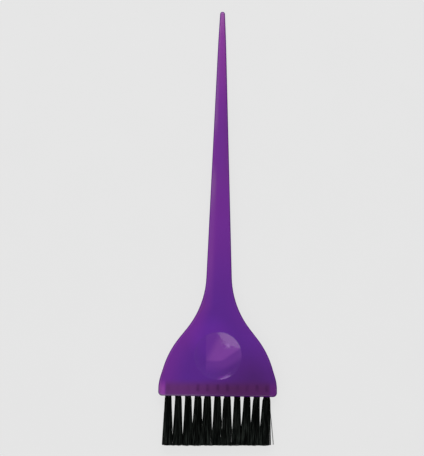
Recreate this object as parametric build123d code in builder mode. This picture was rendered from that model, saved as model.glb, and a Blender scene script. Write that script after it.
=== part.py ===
from build123d import *
import os
from math import radians, tan

# Tint brush for hair colour, lying on its back. Millimetres.
#   +Y runs along the brush, from the bristle ends to the pointed tail.
#   +X runs across the head, +Z out of the front face, and z = 0 is the table.
#   The origin is half way along the brush, under its centre line.
#   A distance is measured from the bristle face, towards the tail.

# ---- Handle, seen from the front: straight sides, whose corners are rounded off ----
HANDLE_LENGTH = 192.3  # bristle face to the end of the tail
HEAD_WIDTH = 59.3
SIDE_LENGTH = 6.6  # bristle face to the corner where the head starts to narrow
SHOULDER_WIDTH = 49.4
SHOULDER_DISTANCE = 22.5
NECK_WIDTH = 13.8
NECK_DISTANCE = 44.9
POINT_WIDTH = 3.87
POINT_LENGTH = 14.3  # the last of the tail, which narrows faster
TIP_WIDTH = 2.3
TIP_ROUND_SHARE = 0.97  # radius of the tail's round end over half its width
FACE_CORNER_ROUNDING = 2.0  # where the bristle face meets the sides

# ---- Handle, seen from the side: a flat back, and a front that falls towards the tail ----
HEAD_THICKNESS = 7.2  # at the bristle face
TIP_THICKNESS = 2.2
EDGE_SHARE = 0.9  # radius of the handle's edges over half its least width or thickness

# ---- Thumb rest: a round dish in the front, and one for the finger in the back ----
DISH_DIAMETER = 24.0
DISH_DEPTH = 1.4
DISH_DISTANCE = 20.3
DISH_ROUNDING = 0.4

# ---- Row of blind holes for the tufts ----
TUFT_COUNT = 11
HOLE_DIAMETER = 3.2
HOLE_DEPTH = 7.5
HOLE_END_MARGIN = 3.45  # end hole to the side of the head
MOUTH_CHAMFER = 0.1
MOUTH_LIP = 0.05  # flat left between a mouth and the rounded edge

# ---- Anchors: flat metal plates, driven in with the tufts ----
ANCHOR_THICKNESS = 0.35
ANCHOR_LENGTH = 3.2  # along the hole
ANCHOR_BITE = 0.4  # how far each edge cuts into the wall of the hole
ANCHOR_CORNER = 0.25  # clipped off the leading corners
ANCHOR_SKEW = 75.0  # degrees out of the row, so that they bite the thick front and back walls
ANCHOR_CLEARANCE = 0.02

# ---- Tufts: bundles of filament, each folded in half round its anchor ----
BRISTLE_LENGTH = 24.7  # out of the bristle face
STRAND_RINGS = 3  # round the middle strand of a tuft
RING_STRANDS = 6  # in the inner ring, and as many more in each ring outside it
RING_TURN = 17.0  # degrees between the rings, so that their strands don't line up
STRAND_WIDTH = 0.28
STRAND_GRIP = 0.6  # how far a strand reaches into the packed root
ROOT_RECESS = 0.4  # bristle face to the packed root
ROOT_CLEARANCE = 0.03
FOLD_CLEARANCE = 0.2  # fold to the bottom of the hole
TIP_HALF_DEPTH = 2.9  # of a tuft's spread end, towards the front and the back
TIP_SPREAD = 1.03  # pitch of the spread ends over the pitch of the holes
TIP_GAP = 0.2  # between two spread ends

# ---- Worked out from the sizes above ----
FACE_Y = BRISTLE_LENGTH - (HANDLE_LENGTH + BRISTLE_LENGTH) / 2
FRONT_SLOPE = (HEAD_THICKNESS - TIP_THICKNESS) / HANDLE_LENGTH
HOLE_PITCH = (HEAD_WIDTH - 2 * HOLE_END_MARGIN - HOLE_DIAMETER) / (TUFT_COUNT - 1)
MOUTH_SPACE = (HEAD_THICKNESS - HOLE_DIAMETER) / 2 - MOUTH_CHAMFER - MOUTH_LIP
EDGE_ROUNDING = min(EDGE_SHARE * min(TIP_WIDTH, TIP_THICKNESS) / 2, MOUTH_SPACE)
ROOT_RADIUS = HOLE_DIAMETER / 2 - ROOT_CLEARANCE
FOLD_DISTANCE = HOLE_DEPTH - FOLD_CLEARANCE - ROOT_RADIUS  # centre of the fold's round
ANCHOR_DISTANCE = FOLD_DISTANCE - ANCHOR_LENGTH  # the fold lies over its far edge
ANCHOR_WIDTH = HOLE_DIAMETER + 2 * ANCHOR_BITE


def soft_radius(before, corner, after):
    """Radius that rounds a corner of the outline over half of its shorter side."""
    arriving, leaving = Vector(corner) - Vector(before), Vector(after) - Vector(corner)
    half_side = min(arriving.length, leaving.length) / 2
    return half_side / tan(radians(arriving.get_angle(leaving)) / 2)


# ---- Handle: one moulding, with the row of holes in its bristle face ----
outline_corners = [
    (0, 0),
    (HEAD_WIDTH / 2, 0),
    (HEAD_WIDTH / 2, SIDE_LENGTH),
    (SHOULDER_WIDTH / 2, SHOULDER_DISTANCE),
    (NECK_WIDTH / 2, NECK_DISTANCE),
    (POINT_WIDTH / 2, HANDLE_LENGTH - POINT_LENGTH),
    (TIP_WIDTH / 2, HANDLE_LENGTH),
    (0, HANDLE_LENGTH),
]
soft_radii = [
    soft_radius(*neighbours)
    for neighbours in zip(outline_corners[1:], outline_corners[2:], outline_corners[3:-1])
]

dish_radius = ((DISH_DIAMETER / 2) ** 2 + DISH_DEPTH**2) / (2 * DISH_DEPTH)
dish_y = FACE_Y + DISH_DISTANCE
dish_z = HEAD_THICKNESS - FRONT_SLOPE * DISH_DISTANCE
front = Plane(origin=(0, dish_y, dish_z), x_dir=(1, 0, 0), z_dir=(0, FRONT_SLOPE, 1))
back = Plane(origin=(0, dish_y, 0), x_dir=(1, 0, 0), z_dir=(0, 0, -1))
hole_plane = Plane(origin=(0, FACE_Y, HEAD_THICKNESS / 2), x_dir=(1, 0, 0), z_dir=(0, -1, 0))

with BuildPart() as handle:
    with BuildSketch(Plane((0, FACE_Y, 0))):
        with BuildLine():
            side = FilletPolyline(
                *outline_corners,
                radius=[FACE_CORNER_ROUNDING, *soft_radii, TIP_ROUND_SHARE * TIP_WIDTH / 2],
            )
            Line(side @ 1, side @ 0)
        make_face()
        mirror(about=Plane.YZ)
    extrude(amount=HEAD_THICKNESS)
    split(bisect_by=front, keep=Keep.BOTTOM)
    fillet(handle.edges().filter_by(Axis.Z, reverse=True), EDGE_ROUNDING)
    # The dishes, each a shallow cap of a large sphere
    with Locations(front.offset(dish_radius - DISH_DEPTH), back.offset(dish_radius - DISH_DEPTH)):
        Sphere(dish_radius, rotation=(90, 0, 0), mode=Mode.SUBTRACT)
    fillet(handle.faces().filter_by(GeomType.SPHERE).edges(), DISH_ROUNDING)
    # The blind holes, and in their walls the cuts that the anchors make
    with Locations(hole_plane), GridLocations(HOLE_PITCH, 0, TUFT_COUNT, 1):
        Hole(HOLE_DIAMETER / 2, depth=HOLE_DEPTH)
    chamfer(handle.edges().filter_by(GeomType.CIRCLE).group_by(Axis.Y)[0], MOUTH_CHAMFER)
    with BuildSketch(hole_plane.offset(-ANCHOR_DISTANCE)):
        with GridLocations(HOLE_PITCH, 0, TUFT_COUNT, 1):
            Rectangle(
                ANCHOR_WIDTH + 2 * ANCHOR_CLEARANCE,
                ANCHOR_THICKNESS + 2 * ANCHOR_CLEARANCE,
                rotation=ANCHOR_SKEW,
            )
    extrude(amount=-ANCHOR_LENGTH, mode=Mode.SUBTRACT)

handle.part.label = "handle"
os.makedirs("parts", exist_ok=True)
export_step(handle.part, "parts/handle.step")

# ---- Anchors and tufts, one pair a hole ----
root_reach = ROOT_RADIUS - STRAND_WIDTH
tip_reach = (HOLE_PITCH * TIP_SPREAD - TIP_GAP - STRAND_WIDTH) / 2
strand_roots = [(0, 0)] + [
    (place.position.X, place.position.Y)
    for ring in range(1, STRAND_RINGS + 1)
    for place in PolarLocations(
        root_reach * ring / STRAND_RINGS, RING_STRANDS * ring, ring * RING_TURN
    )
]


def strand(hole_x, root_x, root_z):
    """One square filament, straight from the packed root to the spread end of its tuft.

    Every end is its root stretched by the same two factors, so no two strands cross.
    """
    end_x = hole_x * TIP_SPREAD + root_x * tip_reach / root_reach
    end_z = root_z * TIP_HALF_DEPTH / root_reach
    with BuildPart() as filament:
        with BuildSketch(hole_plane.offset(-ROOT_RECESS - STRAND_GRIP)):
            with Locations((hole_x + root_x, root_z)):
                Rectangle(STRAND_WIDTH, STRAND_WIDTH)
        with BuildSketch(hole_plane.offset(BRISTLE_LENGTH)):
            with Locations((end_x, end_z)):
                Rectangle(STRAND_WIDTH, STRAND_WIDTH)
        loft(ruled=True)
    return filament.part


across = Vector(1, 0, 0).rotate(Axis.Y, -ANCHOR_SKEW)  # an anchor's width runs this way
for number in range(1, TUFT_COUNT + 1):
    hole_x = (number - (TUFT_COUNT + 1) / 2) * HOLE_PITCH
    hole_mouth = (hole_x, FACE_Y, HEAD_THICKNESS / 2)
    mouth_plane = Plane(hole_mouth, x_dir=across, z_dir=(0, -1, 0))
    fold_plane = Plane(hole_mouth, x_dir=across.cross(Vector(0, 1, 0)), z_dir=-across)

    # The anchor: a plate cut from flat wire, its leading corners clipped
    with BuildPart() as anchor:
        with BuildSketch(mouth_plane.offset(-ANCHOR_DISTANCE)):
            Rectangle(ANCHOR_WIDTH, ANCHOR_THICKNESS)
        extrude(amount=-ANCHOR_LENGTH)
        leading = anchor.faces().sort_by(Axis.Y)[-1]
        chamfer(leading.edges().sort_by(SortBy.LENGTH)[:2], ANCHOR_CORNER)
    anchor.part.label = f"anchor_{number:02d}"
    export_step(anchor.part, f"parts/anchor_{number:02d}.step")

    # The tuft: its packed root, rounded where it folds over the plate, and its free strands
    strands = [strand(hole_x, *root) for root in strand_roots]
    with BuildPart() as tuft:
        with BuildSketch(mouth_plane.offset(-ROOT_RECESS)):
            Circle(ROOT_RADIUS)
        extrude(amount=ROOT_RECESS - FOLD_DISTANCE - ROOT_RADIUS)
        with BuildSketch(fold_plane):
            Rectangle(2 * HOLE_DIAMETER, FOLD_DISTANCE, align=(Align.CENTER, Align.MIN))
            with Locations((0, FOLD_DISTANCE)):
                Circle(ROOT_RADIUS)
        extrude(amount=HOLE_DIAMETER, both=True, mode=Mode.INTERSECT)
        with BuildSketch(mouth_plane.offset(-ANCHOR_DISTANCE)):
            Rectangle(ANCHOR_WIDTH, ANCHOR_THICKNESS + 2 * ANCHOR_CLEARANCE)
        extrude(amount=-ANCHOR_LENGTH, mode=Mode.SUBTRACT)
        add(strands)
    tuft.part.label = f"tuft_{number:02d}"
    export_step(tuft.part, f"parts/tuft_{number:02d}.step")
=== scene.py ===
import random
from math import cos, hypot, pi, radians, sin, sqrt

import bpy
from mathutils import Matrix, Vector, noise


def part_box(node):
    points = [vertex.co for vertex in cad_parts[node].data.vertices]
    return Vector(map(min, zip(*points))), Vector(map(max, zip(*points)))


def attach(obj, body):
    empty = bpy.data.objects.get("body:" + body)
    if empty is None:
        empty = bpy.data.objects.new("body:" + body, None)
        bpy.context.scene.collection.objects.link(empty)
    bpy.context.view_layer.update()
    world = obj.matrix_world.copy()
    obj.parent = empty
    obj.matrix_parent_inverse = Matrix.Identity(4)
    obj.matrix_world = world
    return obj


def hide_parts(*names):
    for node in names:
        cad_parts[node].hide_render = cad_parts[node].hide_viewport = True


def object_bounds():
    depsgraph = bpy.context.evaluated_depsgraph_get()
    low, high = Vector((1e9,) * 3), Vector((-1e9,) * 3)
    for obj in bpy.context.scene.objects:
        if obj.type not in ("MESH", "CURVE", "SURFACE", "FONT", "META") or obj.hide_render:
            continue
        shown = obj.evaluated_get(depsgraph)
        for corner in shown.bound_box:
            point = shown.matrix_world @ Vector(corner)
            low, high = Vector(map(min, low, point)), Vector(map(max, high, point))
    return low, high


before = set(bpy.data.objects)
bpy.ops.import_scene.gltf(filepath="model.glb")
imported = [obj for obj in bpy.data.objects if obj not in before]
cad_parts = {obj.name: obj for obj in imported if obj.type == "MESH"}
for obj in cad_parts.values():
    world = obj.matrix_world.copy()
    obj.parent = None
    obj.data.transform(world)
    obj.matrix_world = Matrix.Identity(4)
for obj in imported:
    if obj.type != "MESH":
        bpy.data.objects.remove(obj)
cad_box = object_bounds()

# ---- Handle -----------------------------------------------------------------------------------
# One injection moulding in see-through purple plastic: a wide head, a neck and a long thin tail.
# The plastic is paler where it is thin, and the roots of the tufts darken it; light and shade are
# painted into its colour too. It is the CAD solid.
MM = 0.001
HALF_WIDTHS = (  # mm from the bristle face, and half the width there
    (0.0, 29.65),
    (6.6, 29.65),
    (22.5, 24.7),
    (44.9, 6.9),
    (178.0, 1.94),
    (192.3, 1.15),
)
# A fade is where it starts and ends, and then the levels there, if they aren't 0 and 1
HEAD_FADE = (60 * MM, 35 * MM)  # from the bristle face
TAIL_FADE = (35 * MM, 75 * MM)
DISH_CENTRE = (0.0, -63.5 * MM, 0.0)
DISH_RADIUS = 12.0 * MM


def add(tree, kind, inputs=(), **settings):
    """A new shader node, with its inputs set to plain values or wired to other nodes."""
    made = tree.nodes.new("ShaderNode" + kind)
    for name, value in settings.items():
        setattr(made, name, value)
    for name, value in dict(inputs).items():
        if isinstance(value, bpy.types.NodeSocket):
            tree.links.new(value, made.inputs[name])
        else:
            made.inputs[name].default_value = value
    return made


def calc(tree, operation, *values):
    """The output of a Math node."""
    return add(tree, "Math", dict(enumerate(values)), operation=operation).outputs[0]


def overlap(tree, first, *others):
    """All of the shares multiplied together."""
    for other in others:
        first = calc(tree, "MULTIPLY", first, other)
    return first


def total(tree, first, *others):
    """All of the amounts added together."""
    for other in others:
        first = calc(tree, "ADD", first, other)
    return first


def ramp(tree, value, start, end, low=0.0, high=1.0):
    """low where value is at start, easing to high where it is at end."""
    inputs = {"Value": value, "From Min": start, "From Max": end, "To Min": low, "To Max": high}
    return add(tree, "MapRange", inputs, interpolation_type="SMOOTHSTEP").outputs["Result"]


def blend_colour(tree, share, first, second, how="MIX"):
    """first, going over to second as share goes from 0 to 1."""
    mixer = add(tree, "Mix", data_type="RGBA", blend_type=how)
    sockets = (mixer.inputs[index] for index in (0, 6, 7))  # those of a mixed colour
    for socket, value in zip(sockets, (share, first, second)):
        if isinstance(value, bpy.types.NodeSocket):
            tree.links.new(value, socket)
        elif isinstance(value, tuple):
            socket.default_value = (*value, 1.0)
        else:
            socket.default_value = value
    return mixer.outputs[2]


def mottle(tree, where, scale, detail=3.0):
    """Even noise, with its features 1 / scale metres across."""
    inputs = {"Vector": where, "Scale": scale, "Detail": detail}
    return add(tree, "TexNoise", inputs).outputs["Fac"]


def flat_distance(tree, where, centre):
    """Distance from centre, seen from above."""
    away = add(tree, "VectorMath", {0: where, 1: centre}, operation="SUBTRACT").outputs[0]
    level = add(tree, "VectorMath", {0: away, 1: (1, 1, 0)}, operation="MULTIPLY").outputs[0]
    return add(tree, "VectorMath", {0: level}, operation="LENGTH").outputs["Value"]


def graded(tree, value, stops):
    """Colour, or grey for a number, by value between listed stops."""
    made = add(tree, "ValToRGB", {"Fac": value})
    elements = made.color_ramp.elements
    while len(elements) < len(stops):
        elements.new(0.5)
    for element, (position, tint) in zip(elements, stops):
        element.position = position
        element.color = (*(tint if isinstance(tint, tuple) else (tint,) * 3), 1.0)
    return made.outputs["Color"]


def finish_of(name):
    """A new material, its node tree and its Principled shader."""
    material = bpy.data.materials.new(name)
    material.use_nodes = True
    return material, material.node_tree, material.node_tree.nodes["Principled BSDF"]


def wire(tree, shader, **sockets):
    """Wires outputs to the shader's sockets, whose names are given with _ for a space."""
    for name, value in sockets.items():
        tree.links.new(value, shader.inputs[name.replace("_", " ")])


handle_plastic, tree, shader = finish_of("handle_plastic")
place = add(tree, "TexCoord")
here = place.outputs["Object"]
x, y = add(tree, "SeparateXYZ", {0: here}).outputs[:2]
face_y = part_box("handle")[0].y
from_face = calc(tree, "SUBTRACT", y, face_y)
off_middle = calc(tree, "ABSOLUTE", x)
to_dish = flat_distance(tree, here, DISH_CENTRE)
in_head = ramp(tree, from_face, *HEAD_FADE)
in_tail = ramp(tree, from_face, *TAIL_FADE)
# facing is 1 on the front and the back, and 0 on the upright sides
normal = add(tree, "SeparateXYZ", {0: place.outputs["Normal"]})
facing = calc(tree, "ABSOLUTE", normal.outputs["Z"])
# across runs from -1 at the left edge to 1 at the right one
handle_length, widest = HALF_WIDTHS[-1][0], HALF_WIDTHS[0][1]
outline = graded(
    tree,
    calc(tree, "DIVIDE", from_face, handle_length * MM),
    [(distance / handle_length, half / widest) for distance, half in HALF_WIDTHS],
)
across = calc(tree, "DIVIDE", x, calc(tree, "MULTIPLY", outline, widest * MM))

# How pale it is: the thin tail most of all, for its thinness; then painted light on the head's
# left side and towards its right edge, on the tail's left side and at the ends of the row, a
# painted highlight line along the rim, and painted shade along the tail's right edge
PLASTIC_TINTS = (  # from the darkest to the palest
    (0.0, (0.108, 0.0225, 0.291)),
    (0.3, (0.174, 0.0275, 0.308)),
    (0.7, (0.265, 0.0475, 0.347)),
    (1.0, (0.340, 0.0990, 0.390)),
)
TAIL_STAGES = (  # mm from the bristle face to the start and the end, and how much paler
    (35, 95, 0.28),
    (134, 177, 0.38),
    (176, 192, 0.34),
)
DIP_DISTANCE = 123 * MM  # from the bristle face, where the tail is a little duller
DIP_LOSS_FADE = (18 * MM, 6 * MM, 0.0, -0.03)
LEFT_START_FADE = (12 * MM, 30 * MM, -0.5, -0.3)  # the pale left side widens up the head
# painted light on the head's left side
LEFT_GAIN = 0.28
RIGHT_EDGE_GLOW_FADE = (0.35, 1.0, 0.0, 0.07)
TAIL_LEFT_LIGHT_FADE = (0.1, -0.7, 0.0, 0.07)
TAIL_RIGHT_SHADE_FADE = (0.4, 0.9, 0.0, -0.12)
TAIL_RIGHT_FADE = (120 * MM, 150 * MM)
ROW_END_FADE = (25.4 * MM, 26.8 * MM)
ROW_HEIGHT_FADE = (9 * MM, 3.5 * MM)
ROW_END_LIGHT_FADE = (10 * MM, -10 * MM, 0.10, 0.50)
RIM_START_FADE = (0.999, 0.97)  # the rim is where the face starts to round off
RIM_END_FADE = (0.80, 0.90)
RIM_DISH_FADE = (DISH_RADIUS + 0.1 * MM, DISH_RADIUS + 0.6 * MM)
RIM_HIGHLIGHT_FADE = (15 * MM, -15 * MM, 0.03, 0.10)
# painted light along the head's left edge
LEFT_EDGE_LIGHT_TINT = (0.180, 0.0350, 0.220)  # of the head's left edge
EDGE_FADE = (-0.93, -1.0, 0.0, 0.6)

off_dip = calc(tree, "ABSOLUTE", calc(tree, "SUBTRACT", from_face, DIP_DISTANCE))
left_start = ramp(tree, from_face, *LEFT_START_FADE)
end_of_row = overlap(
    tree, ramp(tree, off_middle, *ROW_END_FADE), ramp(tree, from_face, *ROW_HEIGHT_FADE)
)
rim = overlap(
    tree,
    ramp(tree, facing, *RIM_START_FADE),
    ramp(tree, facing, *RIM_END_FADE),
    ramp(tree, to_dish, *RIM_DISH_FADE),
)
paleness_and_painted_light = total(
    tree,
    *(ramp(tree, from_face, start * MM, end * MM, 0.0, gain) for start, end, gain in TAIL_STAGES),
    ramp(tree, off_dip, *DIP_LOSS_FADE),
    overlap(tree, in_head, ramp(tree, across, left_start, -1.0, 0.0, LEFT_GAIN)),
    overlap(tree, in_head, ramp(tree, across, *RIGHT_EDGE_GLOW_FADE)),
    overlap(tree, in_tail, ramp(tree, across, *TAIL_LEFT_LIGHT_FADE)),
    overlap(
        tree,
        ramp(tree, from_face, *TAIL_RIGHT_FADE),
        ramp(tree, across, *TAIL_RIGHT_SHADE_FADE),
    ),
    overlap(tree, end_of_row, ramp(tree, x, *ROW_END_LIGHT_FADE)),
    overlap(tree, rim, ramp(tree, x, *RIM_HIGHLIGHT_FADE)),
)
colour = graded(tree, paleness_and_painted_light, PLASTIC_TINTS)
# painted light along the head's left edge
painted_left_edge_light = overlap(tree, in_head, ramp(tree, across, *EDGE_FADE))
colour = blend_colour(tree, painted_left_edge_light, colour, LEFT_EDGE_LIGHT_TINT)

# The tail: a painted highlight along its left side, broken at the dip, and painted shade that
# leaves its right side a little darker and redder
SHEEN_TINTS = ((0.205, 0.044, 0.325), (0.228, 0.075, 0.325))  # near the head, and further up
STRIPE_TINT_FADE = (88 * MM, 105 * MM)
STRIPE_SIDE_FADE = (-0.28, -0.72, 0.0, 0.85)
STRIPE_DIP_FADE = (5 * MM, 17 * MM)
STRIPE_END_FADE = (178 * MM, 168 * MM)
DIP_CAST = (1.0, 1.10, 0.97)  # a cast multiplies the colour
DIP_CAST_FADE = (26 * MM, 12 * MM)
RIGHT_CAST = (0.98, 0.97, 0.92)
RIGHT_CAST_SIDE_FADE = (0.0, 0.8)
RIGHT_CAST_FADE = (102 * MM, 116 * MM)

# painted highlight along the tail's left side
painted_left_sheen = overlap(
    tree,
    in_tail,
    ramp(tree, across, *STRIPE_SIDE_FADE),
    ramp(tree, off_dip, *STRIPE_DIP_FADE),
    ramp(tree, from_face, *STRIPE_END_FADE),
)
sheen_tint = blend_colour(tree, ramp(tree, from_face, *STRIPE_TINT_FADE), *SHEEN_TINTS)
colour = blend_colour(tree, painted_left_sheen, colour, sheen_tint)
colour = blend_colour(tree, ramp(tree, off_dip, *DIP_CAST_FADE), colour, DIP_CAST, "MULTIPLY")
# painted shade on the tail's right side
shaded_right_side = overlap(
    tree,
    in_tail,
    ramp(tree, across, *RIGHT_CAST_SIDE_FADE),
    ramp(tree, from_face, *RIGHT_CAST_FADE),
)
colour = blend_colour(tree, shaded_right_side, colour, RIGHT_CAST, "MULTIPLY")

# The head: a painted glow over the dish, at the left, and painted shade towards the roots, at the
# right
GLOW_CENTRE = (-4.0 * MM, -54.5 * MM, 0.0)
GLOW_CAST = (1.24, 1.10, 1.20)
GLOW_FADE = (14 * MM, 4 * MM)
SHADED_TINT = (0.075, 0.0155, 0.153)
SHADE_FADE = (31 * MM, 6 * MM)
SHADE_SIDE_FADE = (-12 * MM, 20 * MM, 0.05, 0.95)
SHADE_PALENESS_FADE = (0.5, 0.1)
SHADE_EDGE_FADE = (0.6, 1.0, 1.0, 0.7)

# a painted glow, brighter over the dish at the left
painted_glow = ramp(tree, flat_distance(tree, here, GLOW_CENTRE), *GLOW_FADE)
colour = blend_colour(tree, painted_glow, colour, GLOW_CAST, "MULTIPLY")
shade = overlap(
    tree,
    ramp(tree, from_face, *SHADE_FADE),
    ramp(tree, x, *SHADE_SIDE_FADE),
    ramp(tree, paleness_and_painted_light, *SHADE_PALENESS_FADE),
    ramp(tree, across, *SHADE_EDGE_FADE),
)
colour = blend_colour(tree, shade, colour, SHADED_TINT)

# The dish: painted light in a bright patch and a dimmer one below it, both cut off on a slant, a
# painted glow along its lower edge, and a painted glint where its highlight is
DISH_LIGHT_TINT = (0.227, 0.059, 0.385)
DISH_EDGE_FADE = (DISH_RADIUS, DISH_RADIUS - 0.6 * MM)
PATCH_SLANT = -0.7
LIT_PATCH_FADE = (-66.9 * MM, -65.3 * MM, 0.0, 0.6)
LIT_PATCH_SLANT_FADE = (-68.4 * MM, -66.4 * MM)
DIM_FADE = (-73.5 * MM, -67.0 * MM, 0.0, 0.4)
DIM_SLANT_FADE = (-74.5 * MM, -70.5 * MM)
PATCH_LEFT_FADE = (-6.5 * MM, -5.6 * MM)
PATCH_SIDE_FADE = (-9 * MM, 0.0, 0.7, 1.0)
UPPER_SLANT = -2.0
UPPER_FADE = (-50 * MM, -59 * MM, 0.35, 1.0)
DISH_LIP_GLOW_TINT = (0.170, 0.030, 0.330)
DISH_LIP_GLOW_FADES = (  # by the distance from the dish's centre, by x, and by y
    ((9.8 * MM, 11.2 * MM, 0.0, 0.9), (12.3 * MM, 11.9 * MM)),
    ((-1.0 * MM, 2.0 * MM), (6.8 * MM, 4.6 * MM)),
    ((-70.0 * MM, -72.0 * MM),),
)
GLINT_TINT = (0.330, 0.120, 0.510)
GLINT_CENTRE = (4.9 * MM, -58.3 * MM, 0.0)
GLINT_FADE = (1.3 * MM, 0.3 * MM, 0.0, 0.85)

in_dish = ramp(tree, to_dish, *DISH_EDGE_FADE)
slanted = calc(tree, "MULTIPLY_ADD", x, PATCH_SLANT, y)
# painted light coming through the dish, in a bright patch and a dimmer one below it
lit_patch = overlap(
    tree, ramp(tree, y, *LIT_PATCH_FADE), ramp(tree, slanted, *LIT_PATCH_SLANT_FADE)
)
dim_lit_patch = overlap(tree, ramp(tree, y, *DIM_FADE), ramp(tree, slanted, *DIM_SLANT_FADE))
painted_light_patches = overlap(
    tree,
    calc(tree, "ADD", lit_patch, dim_lit_patch),
    in_dish,
    ramp(tree, x, *PATCH_LEFT_FADE),
    ramp(tree, x, *PATCH_SIDE_FADE),
    ramp(tree, calc(tree, "MULTIPLY_ADD", x, UPPER_SLANT, y), *UPPER_FADE),
)
colour = blend_colour(tree, painted_light_patches, colour, DISH_LIGHT_TINT)
# a painted glow along the dish's lower edge
dish_lip_glow = overlap(
    tree,
    *(
        ramp(tree, value, *fade)
        for value, fades in zip((to_dish, x, y), DISH_LIP_GLOW_FADES)
        for fade in fades
    ),
)
colour = blend_colour(tree, dish_lip_glow, colour, DISH_LIP_GLOW_TINT)
# a painted glint in the dish's highlight
painted_glint = ramp(tree, flat_distance(tree, here, GLINT_CENTRE), *GLINT_FADE)
colour = blend_colour(tree, painted_glint, colour, GLINT_TINT)

# The row of holes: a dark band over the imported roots, with the darker mark of each anchor in it
HOLE_PITCH = 4.92 * MM
ROOT_DEPTH = 7.3 * MM  # bristle face to the fold of a tuft
# the band is the roots seen through the plastic; painted light makes it paler at the left
ROOT_TINTS = ((0.130, 0.029, 0.172), (0.084, 0.017, 0.104))  # at the left, and right of the middle
ROOT_TINT_FADE = (-20 * MM, 10 * MM)
ROOT_FADE = (ROOT_DEPTH + 1.8 * MM, ROOT_DEPTH - 3.2 * MM)
ROOT_FACING_FADE = (0.80, 0.999, 0.6, 1.0)
END_TINT = (0.118, 0.0175, 0.178)  # at the right end of the row
END_TINT_FADE = (0.0, 10 * MM)
ANCHOR_TINT = (0.045, 0.007, 0.065)
MARK_WIDTH_FADE = (1.3 * MM, 0.2 * MM)
MARK_LOW_FADE = (1.8 * MM, 3.2 * MM)
MARK_HIGH_FADE = (6.6 * MM, 5.4 * MM)
MARK_SIDE_FADE = (-15 * MM, -9 * MM, 0.2, 1.0)  # the marks are faint at the left
MARK_SCALE = 150.0
MARK_UNEVENNESS_FADE = (0.35, 0.65, 0.2, 0.7)

# painted light in the row's right end, past the last tuft
lit_right_end = overlap(tree, end_of_row, ramp(tree, x, *END_TINT_FADE))
colour = blend_colour(tree, lit_right_end, colour, END_TINT)
in_row = ramp(tree, off_middle, *reversed(ROW_END_FADE))
over_roots = overlap(
    tree,
    ramp(tree, from_face, *ROOT_FADE),
    in_row,
    ramp(tree, facing, *ROOT_FACING_FADE),
)
root_tint = blend_colour(tree, ramp(tree, x, *ROOT_TINT_FADE), *ROOT_TINTS)
colour = blend_colour(tree, over_roots, colour, root_tint)
off_hole = calc(tree, "ABSOLUTE", calc(tree, "WRAP", x, HOLE_PITCH / 2, -HOLE_PITCH / 2))
over_anchor = overlap(
    tree,
    ramp(tree, off_hole, *MARK_WIDTH_FADE),
    ramp(tree, from_face, *MARK_LOW_FADE),
    ramp(tree, from_face, *MARK_HIGH_FADE),
    in_row,
    ramp(tree, x, *MARK_SIDE_FADE),
    ramp(tree, mottle(tree, here, MARK_SCALE), *MARK_UNEVENNESS_FADE),
)
colour = blend_colour(tree, over_anchor, colour, ANCHOR_TINT)

# The rounded edges: painted shade makes them dark all round, and a painted highlight runs along
# the bristle face at the left
OUTLINE_SHADE_TINT = (0.105, 0.005, 0.205)
OUTLINE_SHADE_FADE = (0.97, 0.60, 0.0, 0.9)
# painted highlight on the rounded lip of the bristle face
LIP_TINT = (0.240, 0.155, 0.270)
LIP_FADE = (1.4 * MM, 0.7 * MM)
LIP_START_FADE = (0.99, 0.80)
LIP_END_FADE = (0.05, 0.30)
LIP_SIDE_FADE = (4 * MM, -20 * MM, 0.0, 0.75)

# painted shade on the rounded edges
colour = blend_colour(tree, ramp(tree, facing, *OUTLINE_SHADE_FADE), colour, OUTLINE_SHADE_TINT)
lip_highlight = overlap(
    tree,
    ramp(tree, from_face, *LIP_FADE),
    ramp(tree, facing, *LIP_START_FADE),
    ramp(tree, facing, *LIP_END_FADE),
    ramp(tree, x, *LIP_SIDE_FADE),
)
colour = blend_colour(tree, lip_highlight, colour, LIP_TINT)

# The moulding's faint flow marks, the dents in its dish, and fine scratches in its gloss, which
# the rounded edges have less of than the faces and the upright sides
FLOW_TINT = (0.15, 0.015, 0.20)
FLOW_SCALE = 60.0
FLOW_FADE = (0.3, 0.7, 0.0, 0.10)
FLOW_HEIGHT = 2.0
SCRATCH_STRETCH = (1.0, 0.15, 1.0)
SCRATCH_SCALE = 2500.0
SCRATCH_HEIGHT = 0.05
ROUGHNESS_FADE = (0.35, 0.75, 0.06, 0.15)
WAVE_SCALE = 330.0  # of the dish's unevenness
WAVE_HEIGHT = 6.0
DENT_CENTRES = (
    (6.9 * MM, -58.5 * MM, 0.0),
    (3.2 * MM, -58.3 * MM, 0.0),
    (6.7 * MM, -54.6 * MM, 0.0),
)
DENT_RADIUS = 1.3 * MM
DENT_HEIGHT = -3.5
SCUFF_CENTRE = (3.0 * MM, -56.8 * MM, 0.0)
SCUFF_FADE = (4.5 * MM, 2.0 * MM)
SCUFF_SCALE = 1100.0
SCUFF_HEIGHT = 4.0
BUMP = {"Strength": 0.05, "Distance": 0.2 * MM}
FACE_GLOSS_FADE = (0.78, 0.97, 0.0, 0.5)
SIDE_GLOSS_FADE = (0.25, 0.05, 0.0, 0.5)
PLASTIC_IOR = 1.49


def about_zero(tree, noise_value):
    """The same noise, with its middle at 0."""
    return calc(tree, "SUBTRACT", noise_value, 0.5)


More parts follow.
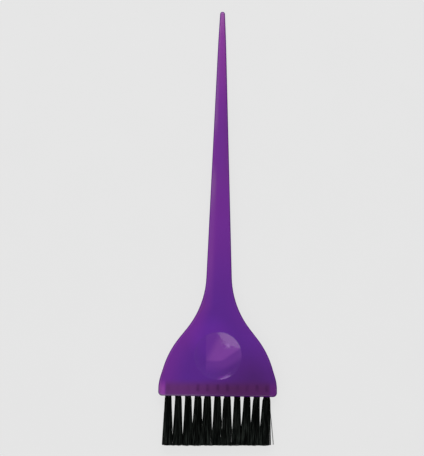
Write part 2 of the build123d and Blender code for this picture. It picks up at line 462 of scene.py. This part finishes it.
flow = mottle(tree, here, FLOW_SCALE, detail=2.0)
colour = blend_colour(tree, ramp(tree, flow, *FLOW_FADE), colour, FLOW_TINT)
stretched = add(tree, "Mapping", {"Vector": here, "Scale": SCRATCH_STRETCH}).outputs[0]
scratches = mottle(tree, stretched, SCRATCH_SCALE, detail=6.0)
ripple = calc(
    tree, "MULTIPLY_ADD", scratches, SCRATCH_HEIGHT, calc(tree, "MULTIPLY", flow, FLOW_HEIGHT)
)
waves = overlap(tree, about_zero(tree, mottle(tree, here, WAVE_SCALE, detail=1.0)), in_dish)
ripple = calc(tree, "MULTIPLY_ADD", waves, WAVE_HEIGHT, ripple)
for centre in DENT_CENTRES:
    dent = ramp(tree, flat_distance(tree, here, centre), DENT_RADIUS, 0.0)
    ripple = calc(tree, "MULTIPLY_ADD", dent, DENT_HEIGHT, ripple)
scuffs = overlap(
    tree,
    about_zero(tree, mottle(tree, here, SCUFF_SCALE, detail=2.0)),
    ramp(tree, flat_distance(tree, here, SCUFF_CENTRE), *SCUFF_FADE),
)
ripple = calc(tree, "MULTIPLY_ADD", scuffs, SCUFF_HEIGHT, ripple)
gloss = calc(
    tree,
    "MAXIMUM",
    ramp(tree, facing, *FACE_GLOSS_FADE),
    ramp(tree, facing, *SIDE_GLOSS_FADE),
)
wire(
    tree,
    shader,
    Base_Color=colour,
    Roughness=ramp(tree, scratches, *ROUGHNESS_FADE),
    Normal=add(tree, "Bump", {"Height": ripple, **BUMP}).outputs[0],
    Specular_IOR_Level=gloss,
)
shader.inputs["IOR"].default_value = PLASTIC_IOR
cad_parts["handle"].material_slots[0].material = handle_plastic

# ---- Anchors ----------------------------------------------------------------------------------
# Eleven short plates cut from flat steel wire. Each is driven into its hole with a tuft folded
# round it, and its two edges bite the plastic, which is all that holds the tuft.
ANCHOR_COUNT = 11
WIRE_TINTS = ((0.36, 0.35, 0.33), (0.58, 0.57, 0.55))
DRAWN_STRETCH = (1.0, 0.1, 1.0)
GRAIN_SCALE = 6000.0
GRAIN_ROUGHNESS_FADE = (0.3, 0.7, 0.25, 0.5)
GRAIN_BUMP = {"Strength": 0.2, "Distance": 0.02 * MM}

anchor_steel, tree, shader = finish_of("anchor_steel")
here = add(tree, "TexCoord").outputs["Object"]
drawn = add(tree, "Mapping", {"Vector": here, "Scale": DRAWN_STRETCH}).outputs[0]
grain = mottle(tree, drawn, GRAIN_SCALE, detail=4.0)
wire(
    tree,
    shader,
    Base_Color=blend_colour(tree, grain, *WIRE_TINTS),
    Roughness=ramp(tree, grain, *GRAIN_ROUGHNESS_FADE),
    Normal=add(tree, "Bump", {"Height": grain, **GRAIN_BUMP}).outputs[0],
)
shader.inputs["Metallic"].default_value = 1.0
for number in range(1, ANCHOR_COUNT + 1):
    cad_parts[f"anchor_{number:02d}"].material_slots[0].material = anchor_steel

# ---- Tufts ------------------------------------------------------------------------------------
# Eleven bundles of black nylon filament. Each filament is folded in half round its anchor, so a
# tuft is a packed plug in its hole, runs parallel at the face, opens into a fan and is cut flush.
FILAMENT_RADIUS = 0.095 * MM
FILAMENT_SIDES = 5
FREE_RINGS = 12
FOLD_RINGS = 6
HOLE_RADIUS = 1.6 * MM
PACKING_PITCH = 0.1995 * MM
PACKING_ROWS = 9
PACKING_COLUMNS = 9  # on each side of the middle one
ANCHOR_HALF_THICKNESS = 0.195 * MM
ANCHOR_TURN = radians(75.0)  # of an anchor's width out of the row
AXIS_HEIGHT = 3.6 * MM
FAN_SIDE = 1.81  # spread of the cut end over the root, along the row
FAN_DEPTH = 1.62  # and towards the front and the back
MOUTH_FLARE = 0.10  # how much a tuft swells as it leaves its hole
MOUTH_LENGTH = 0.08  # of the free length
TUFTS = (  # width over the usual one, then mm aside at the bristle face and at the cut
    (0.99, -0.03, -0.08),
    (0.945, 0.14, -0.24),
    (0.95, 0.18, 0.0),
    (1.025, 0.13, -0.22),
    (1.045, -0.07, -0.16),
    (0.975, 0.07, -0.08),
    (1.06, -0.10, -0.04),
    (0.92, 0.05, -0.08),
    (1.0, 0.04, -0.60),
    (0.97, -0.14, -1.02),
    (1.14, -0.06, -0.58),
)
CUT_SLANT = 0.012  # the cut runs a little out of square
CUT_SCATTER = 0.12  # mm, from filament to filament
CUT_UNEVENNESS = 0.3 * MM
CUT_WAVES = (900, 400)  # along the row, and from the front to the back
CUT_LEVEL = 5.0  # in the noise
CORNER_START = 25.3 * MM  # from the middle of the row: the cut rounds off past it
CORNER_SLOPE = 0.5
WANDER = 0.16  # mm, of a filament from its place in the fan
CLUMPING = 0.35 * MM  # and of a filament and its neighbours together
CLUMP_WAVES = 1400
CLUMP_STEP = 17  # in the noise, from tuft to tuft
CLUMP_LEVELS = (0.3, 7.4)  # in the noise, for x and for z
STRAY_REACH = (1.50, 1.20)  # mm, by which two filaments of the last tuft spring out at its side
STRAY_START = 0.3  # of the free length
DRAW_SEED = 11
# the streaks are painted highlights along the filaments, brighter towards the cut
NYLON_TINTS = ((0.0006, 0.0010, 0.0008), (0.040, 0.049, 0.043))  # plain, and in the streaks
STREAK_STRETCH = (1.0, 0.04, 1.0)
STREAK_SCALE = 2200.0
STREAK_FADE = (0.45, 0.72)
STREAK_ROUGHNESS_FADE = (0.3, 0.7, 0.28, 0.5)
SHINE_FADE = (face_y - 5 * MM, face_y - 24 * MM, 0.35, 1.15)  # more towards the cut
NYLON_GLOSS = 0.07
OFF_FILAMENTS = Vector((0.3, 0.1, 1.0))  # a way in which no part of a filament runs

bristle_nylon, tree, shader = finish_of("bristle_nylon")
here = add(tree, "TexCoord").outputs["Object"]
streaked = add(tree, "Mapping", {"Vector": here, "Scale": STREAK_STRETCH}).outputs[0]
streaks = mottle(tree, streaked, STREAK_SCALE)
along_y = add(tree, "SeparateXYZ", {0: here}).outputs["Y"]
painted_shine = overlap(tree, ramp(tree, streaks, *STREAK_FADE), ramp(tree, along_y, *SHINE_FADE))
wire(
    tree,
    shader,
    Base_Color=blend_colour(tree, painted_shine, *NYLON_TINTS),
    Roughness=ramp(tree, streaks, *STREAK_ROUGHNESS_FADE),
)
shader.inputs["Specular IOR Level"].default_value = NYLON_GLOSS


def tube(points, radius, sides, verts, faces):
    """Adds a closed few-sided tube along points."""
    first = len(verts)
    for index, point in enumerate(points):
        ahead = points[min(index + 1, len(points) - 1)] - points[max(index - 1, 0)]
        out = ahead.cross(OFF_FILAMENTS).normalized()
        up = ahead.cross(out).normalized()
        for side in range(sides):
            turn = 2 * pi * side / sides
            verts.append(point + radius * (cos(turn) * out + sin(turn) * up))
    for ring in range(len(points) - 1):
        for side in range(sides):
            a, b = first + ring * sides, (side + 1) % sides
            faces.append((a + side, a + b, a + b + sides, a + side + sides))
    faces.append(tuple(range(first + sides - 1, first - 1, -1)))
    faces.append(tuple(range(len(verts) - sides, len(verts))))


def shape_of(name, verts, faces, material):
    """A smooth-sided mesh object."""
    mesh = bpy.data.meshes.new(name)
    mesh.from_pydata([tuple(v) for v in verts], [], faces)
    mesh.shade_smooth()
    mesh.materials.append(material)
    made = bpy.data.objects.new(name, mesh)
    bpy.context.collection.objects.link(made)
    return made


# Where the filaments of one side of the anchor lie in the hole, in a close packing
packing = []
row_step = PACKING_PITCH * sqrt(3) / 2
for row in range(PACKING_ROWS):
    off_plate = ANCHOR_HALF_THICKNESS + FILAMENT_RADIUS + row * row_step
    for column in range(-PACKING_COLUMNS, PACKING_COLUMNS + 1):
        along_plate = (column + 0.5 * (row % 2)) * PACKING_PITCH
        if hypot(off_plate, along_plate) <= HOLE_RADIUS - FILAMENT_RADIUS:
            packing.append((off_plate, along_plate))

free_length = face_y - cad_box[0].y
wide = Vector((cos(ANCHOR_TURN), 0.0, sin(ANCHOR_TURN)))
thick = Vector((sin(ANCHOR_TURN), 0.0, -cos(ANCHOR_TURN)))
draw = random.Random(DRAW_SEED)


def leg(number, axis, off_plate, along_plate, stray=0.0):
    """One half of a filament of a tuft, from its cut end to the bristle face."""
    width, face_shift, cut_shift = TUFTS[number - 1]
    root = wide * along_plate + thick * off_plate
    cut = abs(draw.gauss(0, CUT_SCATTER)) * MM
    cut += CUT_SLANT * (axis.x + root.x)
    cut += CORNER_SLOPE * max(0.0, abs(axis.x + root.x) - CORNER_START)
    cut_place = Vector((CUT_WAVES[0] * (axis.x + root.x), CUT_WAVES[1] * root.z, CUT_LEVEL))
    cut += CUT_UNEVENNESS * noise.noise(cut_place)
    wander = Vector((draw.gauss(0, WANDER), 0.0, draw.gauss(0, WANDER))) * MM
    clump_place = (root.x * CLUMP_WAVES + CLUMP_STEP * number, root.z * CLUMP_WAVES)
    clump_x, clump_z = (
        CLUMPING * noise.noise(Vector((*clump_place, level))) for level in CLUMP_LEVELS
    )
    # past the anchor, the two halves of the tuft close up
    closing = -ANCHOR_HALF_THICKNESS * (1 - abs(off_plate) / HOLE_RADIUS)
    closed = root + thick * (closing if off_plate > 0 else -closing)
    points = []
    for ring in range(FREE_RINGS):
        share = 1 - ring / FREE_RINGS
        mouth = min(1.0, share / MOUTH_LENGTH)
        sprung = stray * max(0.0, share - STRAY_START) / (1 - STRAY_START)
        root_now = root.lerp(closed, mouth)
        side = root_now.x * (1 + (FAN_SIDE - 1) * share + MOUTH_FLARE * mouth)
        side *= 1 + (width - 1) * mouth
        side += (face_shift * mouth + cut_shift * share + sprung) * MM
        side += (wander.x + clump_x) * share
        deep = root_now.z * (1 + (FAN_DEPTH - 1) * share) + (wander.z + clump_z) * share
        out_y = face_y - share * (free_length - cut)
        points.append(Vector((axis.x + side, out_y, axis.z + deep)))
    return points


for number in range(1, len(TUFTS) + 1):
    anchor_low, anchor_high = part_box(f"anchor_{number:02d}")
    axis = Vector(((anchor_low.x + anchor_high.x) / 2, 0.0, AXIS_HEIGHT))
    fold_y = anchor_high.y
    strays = list(STRAY_REACH) if number == len(TUFTS) else []
    verts, faces = [], []
    for off_plate, along_plate in packing:
        near = wide * along_plate + thick * off_plate
        far = wide * along_plate - thick * off_plate
        outermost = off_plate > HOLE_RADIUS - 2 * FILAMENT_RADIUS
        stray = strays.pop() if strays and outermost else 0.0
        path = leg(number, axis, off_plate, along_plate, stray)
        path += [axis + near + Vector((0, face_y, 0)), axis + near + Vector((0, fold_y, 0))]
        for step in range(1, FOLD_RINGS):
            turn = pi * step / FOLD_RINGS
            bend = wide * along_plate + thick * off_plate * cos(turn)
            path.append(axis + bend + Vector((0, fold_y + off_plate * sin(turn), 0)))
        path += [axis + far + Vector((0, fold_y, 0)), axis + far + Vector((0, face_y, 0))]
        path += reversed(leg(number, axis, -off_plate, along_plate))
        tube(path, FILAMENT_RADIUS, FILAMENT_SIDES, verts, faces)
    tuft = shape_of(f"tuft_{number:02d}_filaments", verts, faces, bristle_nylon)
    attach(tuft, "root")
    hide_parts(f"tuft_{number:02d}")

# ---- Table and light --------------------------------------------------------------------------
# A pale table under a soft white tent that is dark overhead, where the camera looks in. A square
# softbox and an oval light show in the dish, and a large softbox stands beyond the tail.
PAPER_TINTS = ((0.791, 0.791, 0.791), (0.803, 0.803, 0.803))
PAPER_SCALE = 40.0
TABLE_HALF = 4.0  # of its side, in metres
TABLE_DROP = 0.05 * MM  # under the brush's back
OPEN_DISTANCE = 2.5 * MM
SHADOW_SHARE = 0.1  # of the table's look that comes from the lamps
BACKDROP_TINT = (0.797, 0.797, 0.797)
TENT_SIDE_FADE = (-0.7, 0.7, 0.55, 0.35)  # from the left to the right
TENT_TOP_FADE = (0.97, 0.80, 0.12, 0.55)  # from overhead down to the sides
KEY_CORNER = Vector((-0.160, -0.245, 1.2))
KEY_ALONG = Vector((-0.743, 0.130, -0.656))
KEY_UP = Vector((0.458, -0.616, -0.641))
KEY_SIZE = 0.6
KEY_RADIANCE = 1.24
OVAL_PLACE = (-0.169, 0.472, 1.2)
OVAL_ALONG = (0.936, 0.351, 0.0)
OVAL_SIZE = (0.31, 0.10)
OVAL_RADIANCE = 1.4
BACK_PLACE = (0.0, 1.0, 0.95)
BACK_SIZE = (1.2, 0.8)
BACK_RADIANCE = 3.0

pale_table = bpy.data.materials.new("pale_table")
pale_table.use_nodes = True
tree = pale_table.node_tree
tree.nodes.remove(tree.nodes["Principled BSDF"])
rays = add(tree, "LightPath").outputs
seen_in_gloss = calc(tree, "MAXIMUM", rays["Is Glossy Ray"], rays["Is Transmission Ray"])
seen = calc(tree, "MAXIMUM", rays["Is Camera Ray"], seen_in_gloss)
here = add(tree, "TexCoord").outputs["Object"]
paper = blend_colour(tree, mottle(tree, here, PAPER_SCALE), *PAPER_TINTS)
lit = add(tree, "BsdfDiffuse", {"Color": paper}).outputs[0]
even = add(tree, "Emission", {"Color": paper}).outputs[0]
evenness = calc(tree, "MULTIPLY", seen, 1 - SHADOW_SHARE)
top_side = add(tree, "MixShader", {0: evenness, 1: lit, 2: even}).outputs[0]
# from below it isn't there, and what lies on it gets light through it
from_below = add(tree, "NewGeometry").outputs["Backfacing"]
very_near = calc(tree, "LESS_THAN", rays["Ray Length"], OPEN_DISTANCE)
open_to_light = calc(tree, "MAXIMUM", from_below, very_near)
clear = add(tree, "BsdfTransparent").outputs[0]
one_sided = add(tree, "MixShader", {0: open_to_light, 1: top_side, 2: clear}).outputs[0]
tree.links.new(one_sided, tree.nodes["Material Output"].inputs["Surface"])
corners = [
    (TABLE_HALF * side, TABLE_HALF * end, -TABLE_DROP)
    for side, end in ((-1, -1), (1, -1), (1, 1), (-1, 1))
]
shape_of("table", corners, [(0, 1, 2, 3)], pale_table)

scene = bpy.context.scene
scene.view_settings.view_transform = "Standard"
scene.world = bpy.data.worlds.new("tent")
scene.world.use_nodes = True
tree = scene.world.node_tree
aim = add(tree, "SeparateXYZ", {0: add(tree, "TexCoord").outputs["Generated"]}).outputs
tent_sides = ramp(tree, aim["X"], *TENT_SIDE_FADE)
tent = calc(tree, "MINIMUM", tent_sides, ramp(tree, aim["Z"], *TENT_TOP_FADE))
seen = add(tree, "LightPath").outputs["Is Camera Ray"]
backdrop = blend_colour(tree, seen, tent, BACKDROP_TINT)
tree.links.new(backdrop, tree.nodes["Background"].inputs["Color"])


def softbox(name, place, towards, along, size, radiance, shape="RECTANGLE"):
    """A softbox that shines towards a point, its width running along, unseen by the camera."""
    width, height = size
    light = bpy.data.lights.new(name, "AREA")
    light.shape = shape
    light.size, light.size_y = width, height
    light.energy = 4 * radiance * width * height  # in watts
    out = (Vector(place) - Vector(towards)).normalized()
    up = out.cross(Vector(along)).normalized()
    turned = Matrix((up.cross(out), up, out)).transposed().to_4x4()
    made = bpy.data.objects.new(name, light)
    made.matrix_world = Matrix.Translation(place) @ turned
    made.visible_camera = False
    bpy.context.collection.objects.link(made)


key_centre = KEY_CORNER + (KEY_ALONG + KEY_UP) * KEY_SIZE / 2
key_aim = key_centre - KEY_ALONG.cross(KEY_UP)
softbox("key_softbox", key_centre, key_aim, KEY_ALONG, (KEY_SIZE, KEY_SIZE), KEY_RADIANCE)
softbox("oval_light", OVAL_PLACE, DISH_CENTRE, OVAL_ALONG, OVAL_SIZE, OVAL_RADIANCE, "ELLIPSE")
softbox("back_softbox", BACK_PLACE, (0, 0, 0), (1, 0, 0), BACK_SIZE, BACK_RADIANCE)

# ---- Camera -----------------------------------------------------------------------------------
# Straight above the brush, and far enough away to see it almost without perspective. The brush
# stands upright in the picture, with its tail up, and leans a little to the right.
PICTURE_HEIGHT = 0.228  # metres at the brush
CAMERA_HEIGHT = 2.0
CAMERA_PLACE = (-3.87 * MM, 0.25 * MM, CAMERA_HEIGHT + AXIS_HEIGHT)
BRUSH_LEAN = radians(0.755)

camera_data = bpy.data.cameras.new("camera")
camera_data.lens = camera_data.sensor_width * CAMERA_HEIGHT / PICTURE_HEIGHT
camera = bpy.data.objects.new("camera", camera_data)
camera.location = CAMERA_PLACE
camera.rotation_euler = (0.0, 0.0, BRUSH_LEAN)
bpy.context.collection.objects.link(camera)
scene.camera = camera
